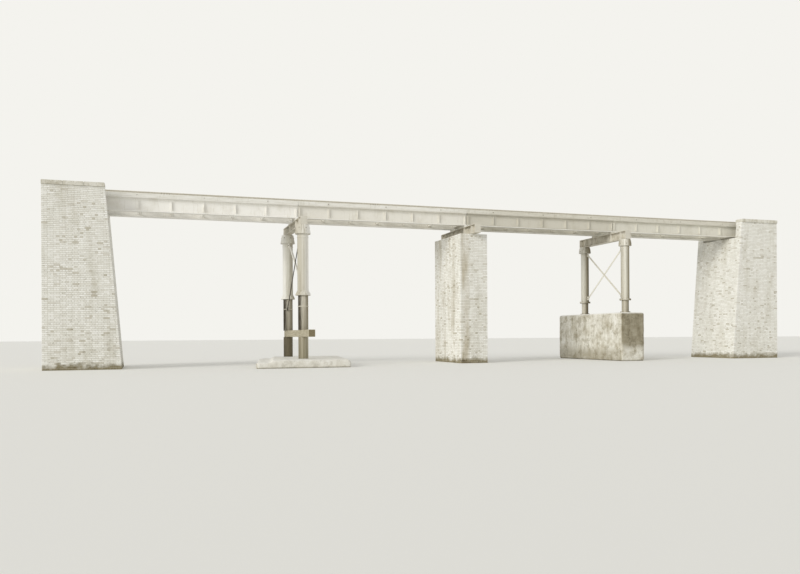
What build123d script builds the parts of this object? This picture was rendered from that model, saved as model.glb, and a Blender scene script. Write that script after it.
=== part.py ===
"""Small railway underbridge: four plate girder spans on two iron bents, a brick pier and two abutments.

Millimetres. X runs along the track, Y across it, Z up. The origin is the centre of the
brick pier where it meets the water, and Z = 0 is the water level. The near side is -Y.
"""
import math
import os

from build123d import *

os.makedirs("parts", exist_ok=True)

# Track and spans
gauge = 1435
span = 8100
span_count = 4
panels_per_span = 6
expansion_gap = 20
seat_level = 6430
bearing_height = 80

# Rail, a light flat bottomed section
rail_height = 95
rail_head_width = 67
rail_head_height = 30
rail_web = 14
rail_foot_width = 92
rail_foot_height = 12

# Longitudinal timbers and the transoms between them
timber_width = 300
timber_height = 165
timber_joint = 6
transom_width = 200
transom_height = 110
transom_drop = 25
transoms_per_span = 3

# Plate girders
girder_depth = 590
girder_flange_width = 300
girder_flange_plate = 20
girder_web = 12
girder_angle = 90
girder_angle_thickness = 12
stiffener_table = 140
stiffener_stem = 66
stiffener_thickness = 12
end_stiffener_inset = 80

# Frames between the two girders of a span
frame_angle = 90
frame_thickness = 12
frame_lap = 54
frame_diagonal = 64
frame_clearance = 6

# Bearings under the girder ends
bearing_width = 340
bearing_length = 132
sole_width = 290
bed_height = 45

# Crossheads that carry the girders on each support
crosshead_overhang = 275
crosshead_width = 300
crosshead_plate = 18
crosshead_web = 16
crosshead_stiffener = 14
left_crosshead_depth = 345
crosshead_depth = 410
outer_stiffener_offset = 230

# Iron bents
column_spacing = 3660
left_shaft_radius = 238
left_capital_top_radius = 278
left_capital_waist_radius = 300
left_capital_rim_radius = 338
left_capital_rim_level = 5724
left_neck_ring_level = 5530
left_collar_level = 3046
left_collar_height = 230
left_collar_rim_radius = 327
left_lower_radius = 218
left_bead_level = 2573
left_leg_radius = 214
right_shaft_radius = 206
right_capital_top_radius = 262
right_capital_rim_radius = 312
right_capital_rim_level = 5734
right_neck_ring_level = 5590
right_joint_level = 3034
right_flange_radius = 281
right_flange_thickness = 36
right_lower_radius = 172
right_base_radius = 250
right_base_thickness = 45
ring_swell = 20
ring_height = 46
rim_thickness = 42
rim_hollow = 60

# Sill beam that the left bent stands on
sill_width = 274
sill_height = 300
sill_level = 1265
sill_near_reach = 1800
sill_far_reach = 280

# Braces between the columns of a bent: an angle and a tie rod on the left one, flats on the right
lug_thickness = 22
lug_height = 190
lug_reach = 190
brace_top_drop = 150
angle_brace_leg = 100
angle_brace_thickness = 12
angle_brace_foot_level = 3420
tie_rod_lug_offset = -49
tie_rod_radius = 20
tie_rod_eye_radius = 58
tie_rod_eye_thickness = 40
flat_brace_width = 90
flat_brace_thickness = 18
flat_brace_foot_level = 3250

# Masonry
pier_half_length = 680
pier_half_width = 1640
pedestal_half_length = 674
pedestal_near_reach = 635
pedestal_far_reach = 1605
pedestal_level = 2377
footing_level = 330
footing_ledge_level = 240
footing_ledge_width = 620
footing_left_reach = 2280
footing_right_reach = 1640
footing_near_reach = 1850
footing_far_reach = 570
footing_skew = 1000
footing_worn_edge = 160
abutment_half_width = 1650
abutment_length = 2400
abutment_batter = 12
left_seat_reach = 210
right_seat_reach = 795
parapet_thickness = 400
left_parapet_height = 880
right_parapet_height = 800
backwall_clearance = 30
coping_height = 165
coping_overhang = 50
coping_weathering = 30

# Levels and spacings that follow from the sizes above
girder_bottom = seat_level + bearing_height
girder_top = girder_bottom + girder_depth
timber_top = girder_top + timber_height
half_track = (gauge + rail_head_width) / 2
support_x = [(index - span_count / 2) * span for index in range(span_count + 1)]
left_bent_x = support_x[1]
pier_x = support_x[2]
right_bent_x = support_x[3]
girder_length = span - expansion_gap
panel = (girder_length - 2 * (end_stiffener_inset - expansion_gap / 2)) / panels_per_span
column_y = column_spacing / 2
crosshead_length = column_spacing + 2 * crosshead_overhang
left_crosshead_level = seat_level - left_crosshead_depth
crosshead_level = seat_level - crosshead_depth
left_seat_face = support_x[0] + left_seat_reach
right_seat_face = support_x[-1] - right_seat_reach
left_back = left_seat_face - abutment_length
right_back = right_seat_face + abutment_length
left_brace_top = left_capital_rim_level - brace_top_drop
right_brace_top = right_capital_rim_level - brace_top_drop
left_pin_y = column_y - left_shaft_radius - lug_reach / 2
right_pin_y = column_y - right_shaft_radius - lug_reach / 2
sides = {"near": -1, "far": 1}


def save(part, name):
    part.label = name
    export_step(part, f"parts/{name}.step")


def stiffener_x(start):
    first = start + end_stiffener_inset
    return [first + index * panel for index in range(panels_per_span + 1)]


# Masonry abutments: a stem with the girder seat on it, a backwall and two parapets. The river
# face leans back as it rises, by one in abutment_batter, up to the copings.
def make_abutment(end, face, back, parapet_height, bearing_x):
    outward = -1 if back < face else 1
    backwall_face = bearing_x + outward * backwall_clearance
    foot = face - outward * seat_level / abutment_batter
    crown = face + outward * parapet_height / abutment_batter
    parapet_top = seat_level + parapet_height
    middle_y = abutment_half_width - parapet_thickness / 2
    with BuildPart() as stem:
        with BuildSketch(Plane.XZ):
            with BuildLine():
                Polyline((foot, 0), (face, seat_level), (back, seat_level), (back, 0), close=True)
            make_face()
        extrude(amount=abutment_half_width, both=True)
    save(stem.part, f"{end}_abutment")

    with BuildPart() as backwall:
        with BuildSketch(Plane.XY.offset(seat_level)):
            with Locations(((backwall_face + back) / 2, 0)):
                Rectangle(abs(back - backwall_face), 2 * (abutment_half_width - parapet_thickness))
        extrude(amount=girder_top - seat_level)
    save(backwall.part, f"{end}_backwall")

    with BuildPart() as parapets:
        for sign in sides.values():
            with BuildSketch(Plane.XZ.offset(-sign * middle_y)):
                with BuildLine():
                    Polyline((face, seat_level), (crown, parapet_top), (back, parapet_top), (back, seat_level), close=True)
                make_face()
        extrude(amount=parapet_thickness / 2, both=True)
    save(parapets.part, f"{end}_parapets")

    with BuildPart() as copings:
        with BuildSketch(Plane.XY.offset(parapet_top)):
            with Locations(*[((crown + back) / 2, sign * middle_y) for sign in sides.values()]):
                Rectangle(abs(back - crown), parapet_thickness + 2 * coping_overhang)
        extrude(amount=coping_height)
        top = copings.edges().group_by(Axis.Z)[-1]
        chamfer(top, length=coping_weathering)
    save(copings.part, f"{end}_copings")


make_abutment("left", left_seat_face, left_back, left_parapet_height, support_x[0])
make_abutment("right", right_seat_face, right_back, right_parapet_height, support_x[-1])

# Rectangular brick pier in the middle of the river
with BuildPart() as brick_pier:
    with BuildSketch(Plane.XY):
        with Locations((pier_x, 0)):
            Rectangle(2 * pier_half_length, 2 * pier_half_width)
    extrude(amount=crosshead_level)
save(brick_pier.part, "brick_pier")

# Masonry pedestal under the right bent
with BuildPart() as pedestal:
    with BuildSketch(Plane.XY):
        with Locations((right_bent_x, (pedestal_far_reach - pedestal_near_reach) / 2)):
            Rectangle(2 * pedestal_half_length, column_spacing + pedestal_near_reach + pedestal_far_reach)
    extrude(amount=pedestal_level)
save(pedestal.part, "right_pedestal")

# Low footing under the left bent: it lies askew, along the stream, with a ledge on its left
# and a right end whose top edge is worn round
with BuildPart() as footing:
    near_y = -column_y - footing_near_reach
    far_y = column_y + footing_far_reach
    left_x = left_bent_x - footing_left_reach
    ledge_x = left_x + footing_ledge_width
    right_x = left_bent_x + footing_right_reach
    with BuildSketch(Plane.XY):
        with BuildLine():
            Polyline(
                (ledge_x, near_y),
                (right_x, near_y),
                (right_x + footing_skew, far_y),
                (ledge_x + footing_skew, far_y),
                close=True,
            )
        make_face()
    extrude(amount=footing_level)
    top_right_edge = footing.edges().group_by(Axis.Z)[-1].sort_by(Axis.X)[-1]
    fillet(top_right_edge, radius=footing_worn_edge)
    with BuildSketch(Plane.XY):
        with BuildLine():
            Polyline(
                (left_x, near_y),
                (ledge_x, near_y),
                (ledge_x + footing_skew, far_y),
                (left_x + footing_skew, far_y),
                close=True,
            )
        make_face()
    extrude(amount=footing_ledge_level)
save(footing.part, "left_footing")


# Iron columns, each turned from one profile, with lugs for the braces
def lug_place(y, shaft_radius, level):
    inward = -1 if y > 0 else 1
    return (y + inward * (shaft_radius + lug_reach) / 2, level)


def ring_points(radius, level):
    return [
        (radius, level + ring_height / 2),
        (radius + ring_swell, level),
        (radius, level - ring_height / 2),
    ]


def make_left_upper(side, y, lugs):
    collar_top = left_collar_level + left_collar_height
    waist_level = (left_crosshead_level + left_capital_rim_level) / 2
    rim_bottom = left_capital_rim_level - rim_thickness
    with BuildPart() as upper:
        with BuildSketch(Plane.XZ.offset(-y)):
            with BuildLine():
                Polyline(
                    (left_bent_x, left_collar_level),
                    (left_bent_x, left_crosshead_level),
                    (left_bent_x + left_capital_top_radius, left_crosshead_level),
                    (left_bent_x + left_capital_waist_radius, waist_level),
                    (left_bent_x + left_capital_rim_radius, left_capital_rim_level),
                    (left_bent_x + left_capital_rim_radius, rim_bottom),
                    (left_bent_x + left_shaft_radius, rim_bottom + rim_hollow),
                    *[(left_bent_x + r, z) for r, z in ring_points(left_shaft_radius, left_neck_ring_level)],
                    (left_bent_x + left_shaft_radius, collar_top),
                    (left_bent_x + left_collar_rim_radius, left_collar_level + rim_thickness),
                    (left_bent_x + left_collar_rim_radius, left_collar_level),
                    close=True,
                )
            make_face()
        revolve(axis=Axis((left_bent_x, y, 0), (0, 0, 1)))
        for offset, level in lugs:
            with BuildSketch(Plane.YZ.offset(left_bent_x + offset)):
                with Locations(lug_place(y, left_shaft_radius, level)):
                    Rectangle(left_shaft_radius + lug_reach, lug_height)
            extrude(amount=lug_thickness / 2, both=True)
    save(upper.part, f"left_column_{side}_upper")


def make_right_upper(side, y):
    rim_bottom = right_capital_rim_level - rim_thickness
    flange_top = right_joint_level + right_flange_thickness
    with BuildPart() as upper:
        with BuildSketch(Plane.XZ.offset(-y)):
            with BuildLine():
                Polyline(
                    (right_bent_x, right_joint_level),
                    (right_bent_x, crosshead_level),
                    (right_bent_x + right_capital_top_radius, crosshead_level),
                )
                ThreePointArc(
                    (right_bent_x + right_capital_top_radius, crosshead_level),
                    (right_bent_x + right_capital_rim_radius - 14, (crosshead_level + right_capital_rim_level) / 2),
                    (right_bent_x + right_capital_rim_radius, right_capital_rim_level),
                )
                Polyline(
                    (right_bent_x + right_capital_rim_radius, right_capital_rim_level),
                    (right_bent_x + right_capital_rim_radius, rim_bottom),
                    (right_bent_x + right_shaft_radius, rim_bottom),
                    *[(right_bent_x + r, z) for r, z in ring_points(right_shaft_radius, right_neck_ring_level)],
                    (right_bent_x + right_shaft_radius, flange_top),
                    (right_bent_x + right_flange_radius, flange_top),
                    (right_bent_x + right_flange_radius, right_joint_level),
                    (right_bent_x, right_joint_level),
                )
            make_face()
        revolve(axis=Axis((right_bent_x, y, 0), (0, 0, 1)))
        with BuildSketch(Plane.YZ.offset(right_bent_x)):
            for level in (right_brace_top, flat_brace_foot_level):
                with Locations(lug_place(y, right_shaft_radius, level)):
                    Rectangle(right_shaft_radius + lug_reach, lug_height)
        extrude(amount=lug_thickness / 2, both=True)
    save(upper.part, f"right_column_{side}_upper")


make_left_upper("near", -column_y, [(tie_rod_lug_offset, left_brace_top), (0, angle_brace_foot_level)])
make_left_upper("far", column_y, [(0, left_brace_top)])
for side, sign in sides.items():
    make_right_upper(side, sign * column_y)

with BuildPart() as left_lower:
    sill_top = sill_level + sill_height
    for sign in sides.values():
        with BuildSketch(Plane.XZ.offset(-sign * column_y)):
            with BuildLine():
                Polyline(
                    (left_bent_x, sill_top),
                    (left_bent_x, left_collar_level),
                    (left_bent_x + left_lower_radius, left_collar_level),
                    *[(left_bent_x + r, z) for r, z in ring_points(left_lower_radius, left_bead_level)],
                    (left_bent_x + left_lower_radius, sill_top),
                    close=True,
                )
            make_face()
        revolve(axis=Axis((left_bent_x, sign * column_y, 0), (0, 0, 1)))
    with BuildSketch(Plane.YZ.offset(left_bent_x + tie_rod_lug_offset)):
        with Locations(lug_place(column_y, left_shaft_radius, left_bead_level)):
            Rectangle(left_shaft_radius + lug_reach, lug_height)
    extrude(amount=lug_thickness / 2, both=True)
save(left_lower.part, "left_lower_columns")

with BuildPart() as right_lower:
    base_top = pedestal_level + right_base_thickness
    flange_bottom = right_joint_level - right_flange_thickness
    for sign in sides.values():
        with BuildSketch(Plane.XZ.offset(-sign * column_y)):
            with BuildLine():
                Polyline(
                    (right_bent_x, pedestal_level),
                    (right_bent_x, right_joint_level),
                    (right_bent_x + right_flange_radius, right_joint_level),
                    (right_bent_x + right_flange_radius, flange_bottom),
                    (right_bent_x + right_lower_radius, flange_bottom),
                    (right_bent_x + right_lower_radius, base_top),
                    (right_bent_x + right_base_radius, base_top),
                    (right_bent_x + right_base_radius, pedestal_level),
                    close=True,
                )
            make_face()
        revolve(axis=Axis((right_bent_x, sign * column_y, 0), (0, 0, 1)))
save(right_lower.part, "right_lower_columns")

# Sill beam of the left bent, which runs out towards the near side, and the legs under it
with BuildPart() as sill:
    with BuildSketch(Plane.XY.offset(sill_level)):
        with Locations((left_bent_x, (sill_far_reach - sill_near_reach) / 2)):
            Rectangle(sill_width, column_spacing + sill_near_reach + sill_far_reach)
    extrude(amount=sill_height)
save(sill.part, "left_sill_beam")

with BuildPart() as legs:
    for sign in sides.values():
        with BuildSketch(Plane.XZ.offset(-sign * column_y)):
            with BuildLine():
                Polyline(
                    (left_bent_x, footing_level),
                    (left_bent_x + left_leg_radius, footing_level),
                    (left_bent_x + left_leg_radius, sill_level),
                    (left_bent_x, sill_level),
                    close=True,
                )
            make_face()
        revolve(axis=Axis((left_bent_x, sign * column_y, 0), (0, 0, 1)))
save(legs.part, "left_legs")

# Braces of the left bent: an angle that laps on its lugs and a tie rod with an eye at each end.
# They pass on the two sides of the bent, the angle up to the far column and the rod up to the near one.
with BuildPart() as left_braces:
    angle_rise = left_brace_top - angle_brace_foot_level
    angle_length = math.hypot(2 * left_pin_y, angle_rise)
    angle_place = Location(
        (0, (left_brace_top + angle_brace_foot_level) / 2),
        math.degrees(math.atan2(angle_rise, 2 * left_pin_y)),
    )
    leg_drop = (angle_brace_leg - angle_brace_thickness) / 2
    with BuildSketch(Plane.YZ.offset(left_bent_x + lug_thickness / 2)):
        with Locations(angle_place):
            SlotOverall(angle_length + angle_brace_leg, angle_brace_leg)
    extrude(amount=angle_brace_thickness)
    with BuildSketch(Plane.YZ.offset(left_bent_x + lug_thickness / 2)):
        with Locations(angle_place):
            with Locations((0, -leg_drop)):
                Rectangle(angle_length, angle_brace_thickness)
    extrude(amount=angle_brace_leg)

    rod_x = left_bent_x + tie_rod_lug_offset - (lug_thickness + tie_rod_eye_thickness) / 2
    rod_rise = left_bead_level - left_brace_top
    rod_angle = math.degrees(math.atan2(rod_rise, 2 * left_pin_y))
    with BuildSketch(Plane.YZ.offset(rod_x)):
        with Locations((-left_pin_y, left_brace_top), (left_pin_y, left_bead_level)):
            Circle(tie_rod_eye_radius)
    extrude(amount=tie_rod_eye_thickness / 2, both=True)
    with Locations((rod_x, 0, (left_brace_top + left_bead_level) / 2)):
        Cylinder(tie_rod_radius, math.hypot(2 * left_pin_y, rod_rise), rotation=(rod_angle - 90, 0, 0))
save(left_braces.part, "left_braces")

# Braces of the right bent: two flats that cross and lap on the two sides of the lugs
with BuildPart() as right_braces:
    flat_rise = right_brace_top - flat_brace_foot_level
    flat_length = math.hypot(2 * right_pin_y, flat_rise)
    flat_angle = math.degrees(math.atan2(flat_rise, 2 * right_pin_y))
    for face_side in (-1, 1):
        with BuildSketch(Plane.YZ.offset(right_bent_x + face_side * lug_thickness / 2)):
            with Locations(Location((0, (right_brace_top + flat_brace_foot_level) / 2), -face_side * flat_angle)):
                SlotOverall(flat_length + flat_brace_width, flat_brace_width)
        extrude(amount=face_side * flat_brace_thickness)
save(right_braces.part, "right_braces")


# Crossheads: short plate girders with closed ends and stiffeners at the loads
def make_crosshead(name, x, depth):
    bottom = seat_level - depth
    web_height = depth - 2 * crosshead_plate
    inner_length = crosshead_length - 2 * crosshead_plate
    stiffener_y = [half_track, column_y - outer_stiffener_offset]
    with BuildPart() as crosshead:
        with BuildSketch(Plane.XZ.offset(-crosshead_length / 2)):
            with Locations((x, bottom + depth / 2)):
                Rectangle(crosshead_web, web_height)
            with Locations((x, bottom + crosshead_plate / 2), (x, seat_level - crosshead_plate / 2)):
                Rectangle(crosshead_width, crosshead_plate)
        extrude(amount=crosshead_length)
        with BuildSketch(Plane.XY.offset(bottom + crosshead_plate)):
            with Locations(*[(x, sign * (inner_length + crosshead_plate) / 2) for sign in sides.values()]):
                Rectangle(crosshead_width, crosshead_plate)
            with Locations(*[(x, sign * y) for y in stiffener_y for sign in sides.values()]):
                Rectangle(crosshead_width - 2 * crosshead_stiffener, crosshead_stiffener)
        extrude(amount=web_height)
    save(crosshead.part, name)


make_crosshead("left_crosshead", left_bent_x, left_crosshead_depth)
make_crosshead("pier_crosshead", pier_x, crosshead_depth)
make_crosshead("right_crosshead", right_bent_x, crosshead_depth)


# Bearings: a bed plate and a narrower sole plate under each girder end
with BuildPart() as bearings:
    bearing_inset = (expansion_gap + bearing_length) / 2
    bearing_x = [x + bearing_inset for x in support_x[:-1]] + [x - bearing_inset for x in support_x[1:]]
    bearing_places = [(x, sign * half_track) for x in bearing_x for sign in sides.values()]
    with BuildSketch(Plane.XY.offset(seat_level)):
        with Locations(*bearing_places):
            Rectangle(bearing_length, bearing_width)
    extrude(amount=bed_height)
    with BuildSketch(Plane.XY.offset(seat_level + bed_height)):
        with Locations(*bearing_places):
            Rectangle(bearing_length, sole_width)
    extrude(amount=bearing_height - bed_height)
save(bearings.part, "bearings")


# Plate girders: web, four angles and two flange plates, with T stiffeners on both faces
def make_girder(number, side, y):
    start = support_x[number]
    web_height = girder_depth - 2 * girder_flange_plate
    leg_width = 2 * girder_angle + girder_web
    leg_y = girder_web / 2 + girder_angle_thickness / 2
    clear_height = web_height - 2 * girder_angle
    middle = girder_bottom + girder_depth / 2
    with BuildPart() as girder:
        with BuildSketch(Plane.YZ.offset(start + expansion_gap / 2)):
            with Locations((y, middle)):
                Rectangle(girder_web, web_height)
            for up in (-1, 1):
                edge = middle + up * girder_depth / 2
                with Locations((y, edge - up * girder_flange_plate / 2)):
                    Rectangle(girder_flange_width, girder_flange_plate)
                with Locations((y, edge - up * (girder_flange_plate + girder_angle_thickness / 2))):
                    Rectangle(leg_width, girder_angle_thickness)
                leg_middle = edge - up * (girder_flange_plate + girder_angle / 2)
                with Locations((y - leg_y, leg_middle), (y + leg_y, leg_middle)):
                    Rectangle(girder_angle_thickness, girder_angle)
        extrude(amount=girder_length)
        with BuildSketch(Plane.XY.offset(middle - clear_height / 2)):
            for x in stiffener_x(start):
                with Locations((x, y - leg_y), (x, y + leg_y)):
                    Rectangle(stiffener_table, stiffener_thickness)
                stem_y = girder_web / 2 + stiffener_thickness + stiffener_stem / 2
                with Locations((x, y - stem_y), (x, y + stem_y)):
                    Rectangle(stiffener_thickness, stiffener_stem)
        extrude(amount=clear_height)
    save(girder.part, f"girder_{side}_{number + 1}")


for number in range(span_count):
    for side, sign in sides.items():
        make_girder(number, side, sign * half_track)


# Frames between the girders of a span: two angles and crossed flats, bolted to the stems
def make_frames(number):
    stem_face = stiffener_thickness / 2
    stem_tip = half_track - girder_web / 2 - stiffener_thickness - stiffener_stem
    bar_end = stem_tip + frame_lap
    low = girder_bottom + girder_flange_plate + girder_angle + frame_clearance
    high = girder_top - girder_flange_plate - girder_angle - frame_clearance
    rise = high - low - frame_diagonal
    angle = math.degrees(math.atan2(rise, 2 * stem_tip))
    diagonal_length = math.hypot(rise, 2 * stem_tip)
    middle = (low + high) / 2
    with BuildPart() as frames:
        for x in stiffener_x(support_x[number]):
            with BuildSketch(Plane.YZ.offset(x + stem_face)):
                with Locations((0, low + frame_angle / 2), (0, high - frame_angle / 2)):
                    Rectangle(2 * bar_end, frame_angle)
                with Locations(Location((0, middle), angle), Location((0, middle), -angle)):
                    Rectangle(diagonal_length, frame_diagonal)
            extrude(amount=frame_thickness)
            with BuildSketch(Plane.XY.offset(low)):
                with Locations((x + stem_face + frame_angle / 2, 0)):
                    Rectangle(frame_angle, 2 * stem_tip)
            extrude(amount=frame_thickness)
    save(frames.part, f"cross_frames_{number + 1}")


for number in range(span_count):
    make_frames(number)

# Longitudinal timbers on the girders, in one length for each span and one on each backwall
timber_ends = [left_back, *support_x[1:-1], right_back]
for side, sign in sides.items():
    with BuildPart() as timbers:
        with BuildSketch(Plane.XY.offset(girder_top)):
            for first, last in zip(timber_ends[:-1], timber_ends[1:]):
                with Locations(((first + last) / 2, sign * half_track)):
                    Rectangle(last - first - timber_joint, timber_width)
        extrude(amount=timber_height)
    save(timbers.part, f"timbers_{side}")

# Transoms, which keep the two lines of timber apart
with BuildPart() as transoms:
    transom_length = 2 * half_track - timber_width
    transom_pitch = span / transoms_per_span
    with BuildSketch(Plane.XY.offset(timber_top - transom_drop - transom_height)):
        for index in range(span_count * transoms_per_span):
            with Locations((support_x[0] + (index + 0.5) * transom_pitch, 0)):
                Rectangle(transom_width, transom_length)
    extrude(amount=transom_height)
save(transoms.part, "transoms")

# Rails
for side, sign in sides.items():
    with BuildPart() as rail:
        with BuildSketch(Plane.YZ.offset(left_back)):
            y = sign * half_track
            with Locations((y, timber_top + rail_foot_height / 2)):
                Rectangle(rail_foot_width, rail_foot_height)
            with Locations((y, timber_top + rail_height / 2)):
                Rectangle(rail_web, rail_height)
            with Locations((y, timber_top + rail_height - rail_head_height / 2)):
                Rectangle(rail_head_width, rail_head_height)
        extrude(amount=right_back - left_back)
    save(rail.part, f"rail_{side}")
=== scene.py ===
"""Looks of a railway bridge: iron girder spans on two column bents, a brick pier and two abutments."""
import math

import bpy
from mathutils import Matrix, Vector


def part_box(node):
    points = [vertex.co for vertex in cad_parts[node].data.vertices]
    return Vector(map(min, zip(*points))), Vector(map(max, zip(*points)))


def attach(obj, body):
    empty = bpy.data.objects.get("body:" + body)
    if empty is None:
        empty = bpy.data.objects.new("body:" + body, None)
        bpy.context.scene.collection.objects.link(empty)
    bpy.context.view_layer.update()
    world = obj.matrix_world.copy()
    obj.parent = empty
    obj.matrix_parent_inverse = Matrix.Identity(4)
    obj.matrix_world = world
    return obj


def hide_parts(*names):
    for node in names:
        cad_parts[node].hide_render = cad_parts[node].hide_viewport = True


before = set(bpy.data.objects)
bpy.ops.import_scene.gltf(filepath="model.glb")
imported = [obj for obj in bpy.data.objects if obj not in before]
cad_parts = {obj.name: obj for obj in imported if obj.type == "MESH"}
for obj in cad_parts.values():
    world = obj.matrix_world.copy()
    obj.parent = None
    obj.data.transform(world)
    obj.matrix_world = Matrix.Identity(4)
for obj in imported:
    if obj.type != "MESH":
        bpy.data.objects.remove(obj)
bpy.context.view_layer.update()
bpy.ops.object.select_all(action="DESELECT")

# Brick pier: old wire cut bricks in English bond, laid in lime mortar around a solid core.
# Each brick has worn arrises and stands 8 mm proud of its joints. Lime has bloomed over all
# of it, pits have weathered in low down, and the river keeps the foot damp.
brick_length = 0.225  # metres, as all sizes here; levels are heights above the water
brick_height = 0.065
brick_depth = 0.100
brick_joint = 0.010
joint_recess = 0.008
perpend = 0.006
brick_arris = 0.006
header_width = 0.1025
out_of_true = 0.0015
course_rise = brick_height + brick_joint


def linear(hex_colour):
    """sRGB hex to the linear colour that a shader takes."""
    parts = [int(hex_colour[i:i + 2], 16) / 255 for i in (1, 3, 5)]
    return (*[p / 12.92 if p <= 0.04045 else ((p + 0.055) / 1.055) ** 2.4 for p in parts], 1.0)


def add_node(tree, kind, settings, links):
    """Adds a node, sets its properties or inputs, and links sockets or other nodes' first outputs to it."""
    made = tree.nodes.new(kind)
    for key, value in settings.items():
        if isinstance(key, str) and hasattr(made, key):
            setattr(made, key, value)
        else:
            made.inputs[key].default_value = value
    for key, source in links.items():
        socket = source.outputs[0] if isinstance(source, bpy.types.Node) else source
        tree.links.new(socket, made.inputs[key])
    return made


def new_material(name):
    """An empty node material, and the object coordinates that its patterns read."""
    material = bpy.data.materials.new(name)
    material.use_nodes = True
    tree = material.node_tree
    tree.nodes.clear()
    place = add_node(tree, "ShaderNodeTexCoord", {}, {})
    return material, tree, place.outputs["Object"]


def set_ramp(ramp, stops):
    """Gives a colour ramp its stops, as pairs of position and sRGB colour."""
    elements = ramp.color_ramp.elements
    while len(elements) > 1:
        elements.remove(elements[-1])
    for index, (position, colour) in enumerate(stops):
        stop = elements[0] if index == 0 else elements.new(position)
        stop.position = position
        stop.color = linear(colour)


def cells(size_mm):
    """The noise scale, in cells to the metre, that draws marks of about this size."""
    return 1000 / size_mm


def stained(tree, colour, pattern, start, end, strength, stain, blend="MULTIPLY"):
    """Multiplies a stain into a colour, or mixes it in, where a pattern goes from start to end."""
    amount = add_node(tree, "ShaderNodeMapRange", {"From Min": start, "From Max": end, "To Max": strength},
                      {"Value": pattern})
    mixed = add_node(tree, "ShaderNodeMix",
                     {"data_type": "RGBA", "blend_type": blend, 7: linear(stain)},
                     {0: amount, 6: colour})
    return mixed.outputs[2]


def streaks(tree, place, width_mm, length_mm, detail):
    """Noise drawn out along Z, as rain leaves it on an upright face."""
    drawn = add_node(tree, "ShaderNodeMapping",
                     {"Scale": (cells(width_mm), cells(width_mm), cells(length_mm))}, {"Vector": place})
    return add_node(tree, "ShaderNodeTexNoise", {"Scale": 1.0, "Detail": detail, "Roughness": 0.6},
                    {"Vector": drawn})


def finish_material(tree, colour, roughness, texture, bump_depth):
    """Joins colour and bump into the surface shader of a material."""
    bump = add_node(tree, "ShaderNodeBump", {"Strength": 0.6, "Distance": bump_depth}, {"Height": texture})
    shader = add_node(tree, "ShaderNodeBsdfPrincipled", {"Roughness": roughness},
                      {"Base Color": colour, "Normal": bump})
    add_node(tree, "ShaderNodeOutputMaterial", {}, {"Surface": shader})


# Fired clay under a lime bloom: dull and pale, each brick of its own shade, a few of them dark. Rain
# runs are two bricks wide and 2.6 m long, and a brown one marks where the crosshead above drips.
# Pits are 140 by 60 mm, about half a brick's face, and the damp's edge wanders over 250 mm. Sand
# in the clay is under 1 mm and would not show, so it is drawn at 11 mm.
drip_x = -0.45
drip_reach = 0.45
drip_core = 0.10
pit_top = 5.0
pit_foot = 0.4
damp_level = 0.04

old_brick, tree, place = new_material("lime_bloomed_brick")
island = add_node(tree, "ShaderNodeNewGeometry", {}, {})
shade = add_node(tree, "ShaderNodeValToRGB", {}, {"Fac": island.outputs["Random Per Island"]})
set_ramp(shade, [(0.0, "#C2BDAE"), (0.04, "#D3CFC4"), (0.08, "#E2E0D8"), (0.6, "#E9E8E1"), (1.0, "#F1F0EB")])
run_marks = streaks(tree, place, 455, 2600, 6.0)
run_down = stained(tree, shade, run_marks, 0.5, 0.75, 0.45, "#C9C4B3")
wall_place = add_node(tree, "ShaderNodeSeparateXYZ", {}, {"Vector": place})
past_drip = add_node(tree, "ShaderNodeMath", {"operation": "SUBTRACT", 1: drip_x},
                     {0: wall_place.outputs["X"]})
off_drip = add_node(tree, "ShaderNodeMath", {"operation": "ABSOLUTE"}, {0: past_drip})
by_drip = add_node(tree, "ShaderNodeMapRange", {"From Min": drip_reach, "From Max": drip_core},
                   {"Value": off_drip})
drip_run = add_node(tree, "ShaderNodeMath", {"operation": "MULTIPLY"}, {0: by_drip, 1: run_marks})
leaked = stained(tree, run_down, drip_run, 0.28, 0.6, 0.75, "#BDAF90")
flat_marks = add_node(tree, "ShaderNodeMapping", {"Scale": (cells(143), cells(143), cells(62.5))},
                      {"Vector": place})
pit_noise = add_node(tree, "ShaderNodeTexNoise", {"Scale": 1.0, "Detail": 3.0}, {"Vector": flat_marks})
low_down = add_node(tree, "ShaderNodeMapRange",
                    {"From Min": pit_top, "From Max": pit_foot, "To Min": -0.04, "To Max": 0.05},
                    {"Value": wall_place.outputs["Z"]})
pit_level = add_node(tree, "ShaderNodeMath", {"operation": "ADD"}, {0: pit_noise, 1: low_down})
pitted = stained(tree, leaked, pit_level, 0.66, 0.76, 0.6, "#958D76")
ragged = add_node(tree, "ShaderNodeTexNoise", {"Scale": cells(250), "Detail": 4.0}, {"Vector": place})
ragged_height = add_node(tree, "ShaderNodeMath", {"operation": "MULTIPLY_ADD", 1: -0.5},
                         {0: ragged, 2: wall_place.outputs["Z"]})
damp = stained(tree, pitted, ragged_height, damp_level, damp_level - 0.2, 1.0, "#958C72")
clay_sand = add_node(tree, "ShaderNodeTexNoise", {"Scale": cells(11.1), "Detail": 6.0, "Roughness": 0.7},
                     {"Vector": place})
finish_material(tree, damp, 0.92, clay_sand, 0.004)

# Lime and river sand: chalky, a little darker than the bricks because it lies back in the joint. Its
# tone drifts over 400 mm, about five courses. Sand of 1 mm would not show, so it is drawn at 6 mm.
lime_mortar, tree, place = new_material("lime_mortar")
patches = add_node(tree, "ShaderNodeTexNoise", {"Scale": cells(400), "Detail": 5.0}, {"Vector": place})
mortar_tone = add_node(tree, "ShaderNodeValToRGB", {}, {"Fac": patches})
set_ramp(mortar_tone, [(0.3, "#A39C88"), (0.55, "#BDB8A8"), (0.75, "#D2CEC2")])
mortar_sand = add_node(tree, "ShaderNodeTexNoise", {"Scale": cells(6.25), "Detail": 4.0}, {"Vector": place})
finish_material(tree, mortar_tone, 0.95, mortar_sand, 0.003)


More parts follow.
